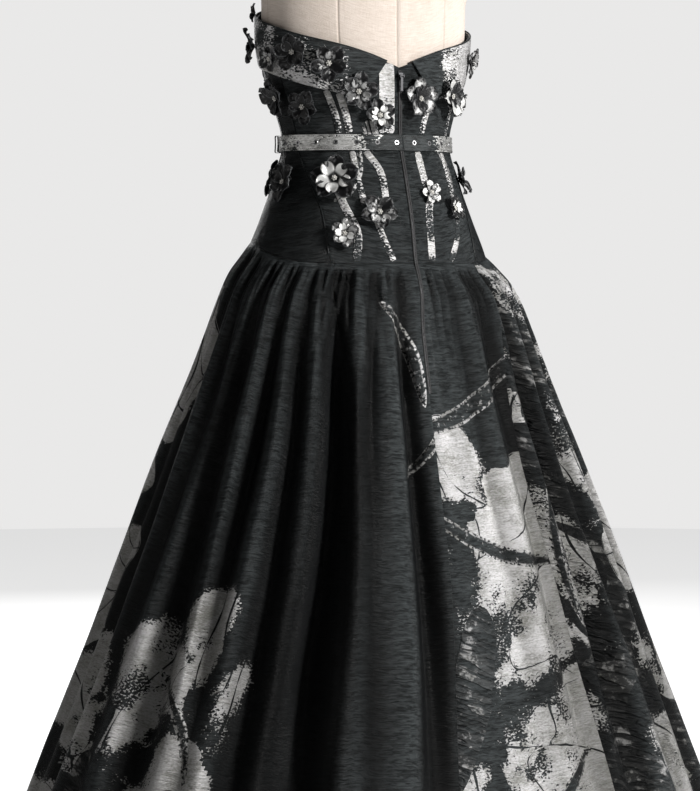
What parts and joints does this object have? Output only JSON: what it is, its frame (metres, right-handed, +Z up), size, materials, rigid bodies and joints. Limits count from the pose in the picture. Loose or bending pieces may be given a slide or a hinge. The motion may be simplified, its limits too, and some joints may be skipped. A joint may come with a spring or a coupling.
{
  "type": "strapless ball gown with its own belt, on a limbless dress form",
  "caption": "Strapless floor-length gown with a folded neck band, sewn petal flowers, a narrow belt and a full gathered skirt, worn by a limbless dress form on a round base.",
  "frame": {"origin": "middle of the round base's flat underside, which stands on the floor", "axes": "+Z up, -Y towards the gown's front, +Y towards its zip and back, +X towards the wearer's left"},
  "size_m": [1.1692, 0.7183, 1.515],
  "materials": {
    "black_jacquard": "crisp black jacquard, soft sheen",
    "silver_jacquard": "silver-grey jacquard, soft sheen",
    "petal_cloth": "cut cloth petals, soft sheen",
    "zip_tape_cloth": "matt woven tape",
    "dark_metal": "satin dark metal",
    "form_linen": "matt beige linen"
  },
  "bodies": {
    "gown": {"belt": "silver_jacquard", "belt_buckle": "dark_metal", "belt_keeper": "black_jacquard", "belt_prong": "dark_metal", "belt_tail": "silver_jacquard", "bodice_back_left": "black_jacquard", "bodice_back_right": "black_jacquard", "bodice_front": "black_jacquard", "bodice_side_left": "black_jacquard", "bodice_side_right": "black_jacquard", "flower_01": "petal_cloth", "flower_02": "petal_cloth", "flower_03": "petal_cloth", "flower_04": "petal_cloth", "flower_05": "petal_cloth", "flower_06": "petal_cloth", "flower_07": "petal_cloth", "flower_08": "petal_cloth", "flower_09": "petal_cloth", "flower_10": "petal_cloth", "flower_11": "petal_cloth", "flower_12": "petal_cloth", "flower_13": "petal_cloth", "flower_14": "petal_cloth", "flower_15": "petal_cloth", "flower_16": "petal_cloth", "flower_17": "petal_cloth", "flower_18": "petal_cloth", "flower_19": "petal_cloth", "flower_20": "petal_cloth", "flower_21": "petal_cloth", "flower_22": "petal_cloth", "flower_23": "petal_cloth", "flower_24": "petal_cloth", "flower_25": "petal_cloth", "flower_26": "petal_cloth", "flower_27": "petal_cloth", "flower_28": "petal_cloth", "flower_29": "petal_cloth", "flower_30": "petal_cloth", "form_torso": "form_linen", "neck_band": "silver_jacquard", "skirt_back_left": "black_jacquard", "skirt_back_right": "black_jacquard", "skirt_front": "black_jacquard", "skirt_side_left": "black_jacquard", "skirt_side_right": "black_jacquard", "stand_base": "dark_metal", "stand_pole": "dark_metal", "zip_slider": "dark_metal", "zip_tape": "zip_tape_cloth"},
    "pull": {"zip_pull": "dark_metal"}
  },
  "joints": [
    {"name": "zip_pull_swing", "type": "hinge", "parent": "gown", "child": "pull", "pos_m": [0, 0.09897, 1.153], "axis": [1, 0, 0], "range_deg": [0, 165]}
  ]
}
